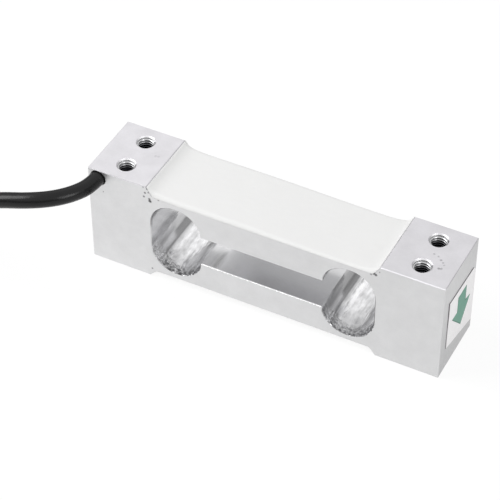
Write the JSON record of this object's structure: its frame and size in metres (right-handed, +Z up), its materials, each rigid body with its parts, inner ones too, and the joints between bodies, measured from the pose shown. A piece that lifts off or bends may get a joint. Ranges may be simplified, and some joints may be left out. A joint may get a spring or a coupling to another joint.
{
  "type": "weighing load cell",
  "caption": "Single-point weighing load cell: a milled aluminium beam with a windowed flexure, sealed strain gauges, threaded end blocks and a round signal cable with bare leads.",
  "frame": {"origin": "middle of the beam's underside, where it would rest on a table", "axes": "+X along the beam to the labelled end, -Y to the face that the cable leaves, +Z up"},
  "size_m": [0.2501, 0.0698, 0.0403],
  "materials": {
    "beam_aluminium": "finely milled and tumbled, matte, with broken edges",
    "white_sealant": "poured white silicone sealant, smooth and matte",
    "gauge_film": "amber polyimide film",
    "gauge_foil": "etched constantan foil",
    "strip_board": "thin glass-epoxy board",
    "tinned_copper": "tin-plated copper, semi-bright",
    "enamelled_copper": "enamelled copper wire",
    "resistor_ceramic": "chip resistor body",
    "lead_red": "red wire insulation",
    "lead_green": "green wire insulation",
    "lead_black": "black wire insulation",
    "lead_white": "white wire insulation",
    "potting_resin": "dark potting resin",
    "label_paper": "white paper sticker with a plain green arrow",
    "cable_black": "black flexible cable jacket, satin",
    "shrink_sleeve": "black shrunk sleeve"
  },
  "bodies": {
    "root": {"beam_body": "beam_aluminium", "top_sealant": "white_sealant", "bottom_sealant": "white_sealant", "gauge_film_top_cable_end": "gauge_film", "gauge_film_top_label_end": "gauge_film", "gauge_film_bottom_cable_end": "gauge_film", "gauge_film_bottom_label_end": "gauge_film", "gauge_grid_top_cable_end": "gauge_foil", "gauge_grid_top_label_end": "gauge_foil", "gauge_grid_bottom_cable_end": "gauge_foil", "gauge_grid_bottom_label_end": "gauge_foil", "top_solder_strip": "strip_board", "bottom_solder_strip": "strip_board", "top_solder_pads": "tinned_copper", "bottom_solder_pads": "tinned_copper", "top_bridge_wires": "enamelled_copper", "bottom_bridge_wires": "enamelled_copper", "cross_wires": "enamelled_copper", "zero_trim_resistor": "resistor_ceramic", "span_trim_resistor": "resistor_ceramic", "inner_lead_red": "lead_red", "inner_lead_green": "lead_green", "inner_lead_black": "lead_black", "inner_lead_white": "lead_white", "cable_potting": "potting_resin", "load_label": "label_paper", "cable_jacket": "cable_black", "cable_tail": "cable_black", "cable_coil": "cable_black", "end_sleeve": "shrink_sleeve", "tail_lead_red": "lead_red", "tail_lead_green": "lead_green", "tail_lead_black": "lead_black", "tail_lead_white": "lead_white", "shield_drain_wire": "tinned_copper", "tinned_tips": "tinned_copper"}
  },
  "joints": []
}
